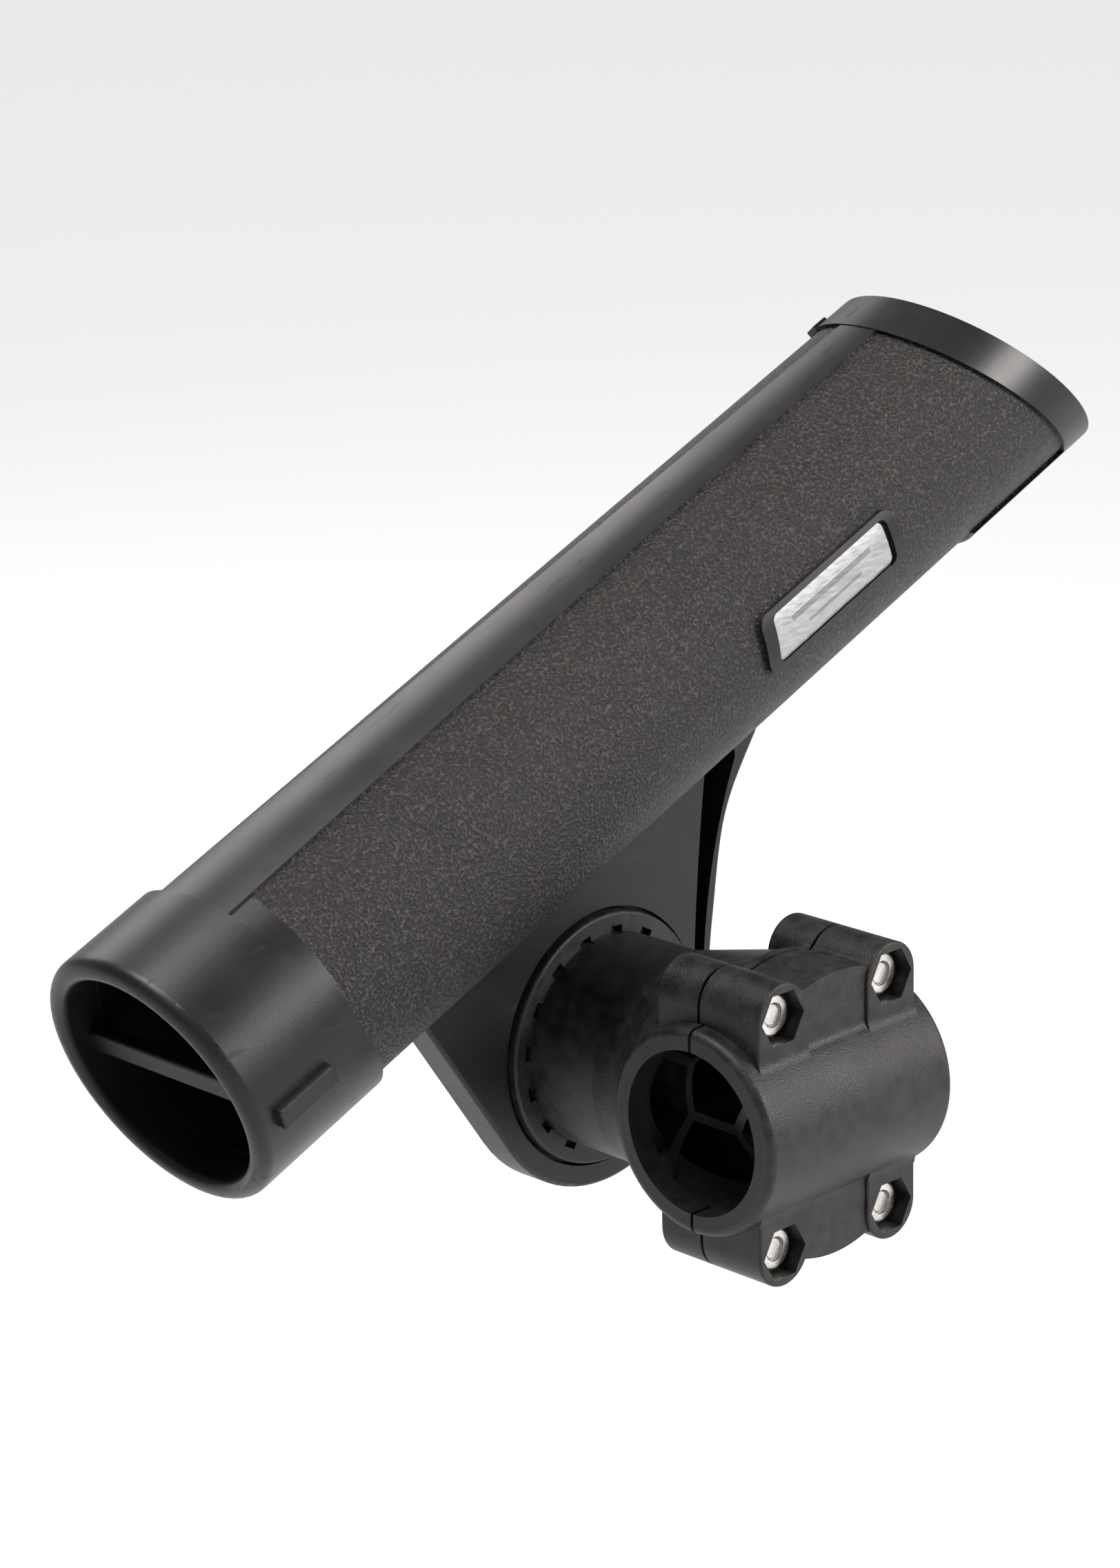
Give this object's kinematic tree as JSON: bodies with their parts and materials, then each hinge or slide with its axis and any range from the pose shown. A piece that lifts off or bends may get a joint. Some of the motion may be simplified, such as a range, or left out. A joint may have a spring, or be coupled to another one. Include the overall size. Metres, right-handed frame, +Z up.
{
  "type": "rod holder",
  "caption": "Fishing rod holder: open sloping tube on a bracket plate that turns on a toothed neck, held to a round rail by a bolted two-piece clamp.",
  "frame": {"origin": "centre of the clamp's rail bore", "axes": "+X along the rail, +Y from the clamp along the neck towards the tube, +Z up"},
  "size_m": [0.2557, 0.099, 0.1631],
  "materials": {
    "tube_plastic": "fine grained injection-moulded nylon with smooth satin bands",
    "clamp_plastic": "fine grained injection-moulded glass-filled nylon",
    "badge": "satin silver label",
    "stainless": "bright machined stainless steel",
    "nylon": "natural nylon locking ring"
  },
  "bodies": {
    "rail_mount": {"clamp_base": "clamp_plastic", "pivot_bolt": "stainless", "pivot_washer": "stainless", "pivot_nut": "stainless", "pivot_nut_insert": "nylon"},
    "holder": {"rod_tube": "tube_plastic", "name_badge": "badge"},
    "cap": {"clamp_cap": "clamp_plastic", "clamp_nut_1": "stainless", "clamp_nut_2": "stainless", "clamp_nut_3": "stainless", "clamp_nut_4": "stainless", "nut_insert_1": "nylon", "nut_insert_2": "nylon", "nut_insert_3": "nylon", "nut_insert_4": "nylon"},
    "bolt_1": {"clamp_bolt_1": "stainless"},
    "bolt_2": {"clamp_bolt_2": "stainless"},
    "bolt_3": {"clamp_bolt_3": "stainless"},
    "bolt_4": {"clamp_bolt_4": "stainless"}
  },
  "joints": [
    {"name": "tilt", "type": "hinge", "parent": "rail_mount", "child": "holder", "pos_m": [0, 0.05, 0], "axis": [0, 1, 0], "continuous": true},
    {"name": "cap_lift", "type": "slide", "parent": "rail_mount", "child": "cap", "axis": [0, -1, 0], "range_m": [0, 0.012]},
    {"name": "bolt_1_withdraw", "type": "slide", "parent": "rail_mount", "child": "bolt_1", "axis": [0, 1, 0], "range_m": [0, 0.026]},
    {"name": "bolt_2_withdraw", "type": "slide", "parent": "rail_mount", "child": "bolt_2", "axis": [0, 1, 0], "range_m": [0, 0.026]},
    {"name": "bolt_3_withdraw", "type": "slide", "parent": "rail_mount", "child": "bolt_3", "axis": [0, 1, 0], "range_m": [0, 0.026]},
    {"name": "bolt_4_withdraw", "type": "slide", "parent": "rail_mount", "child": "bolt_4", "axis": [0, 1, 0], "range_m": [0, 0.026]}
  ]
}
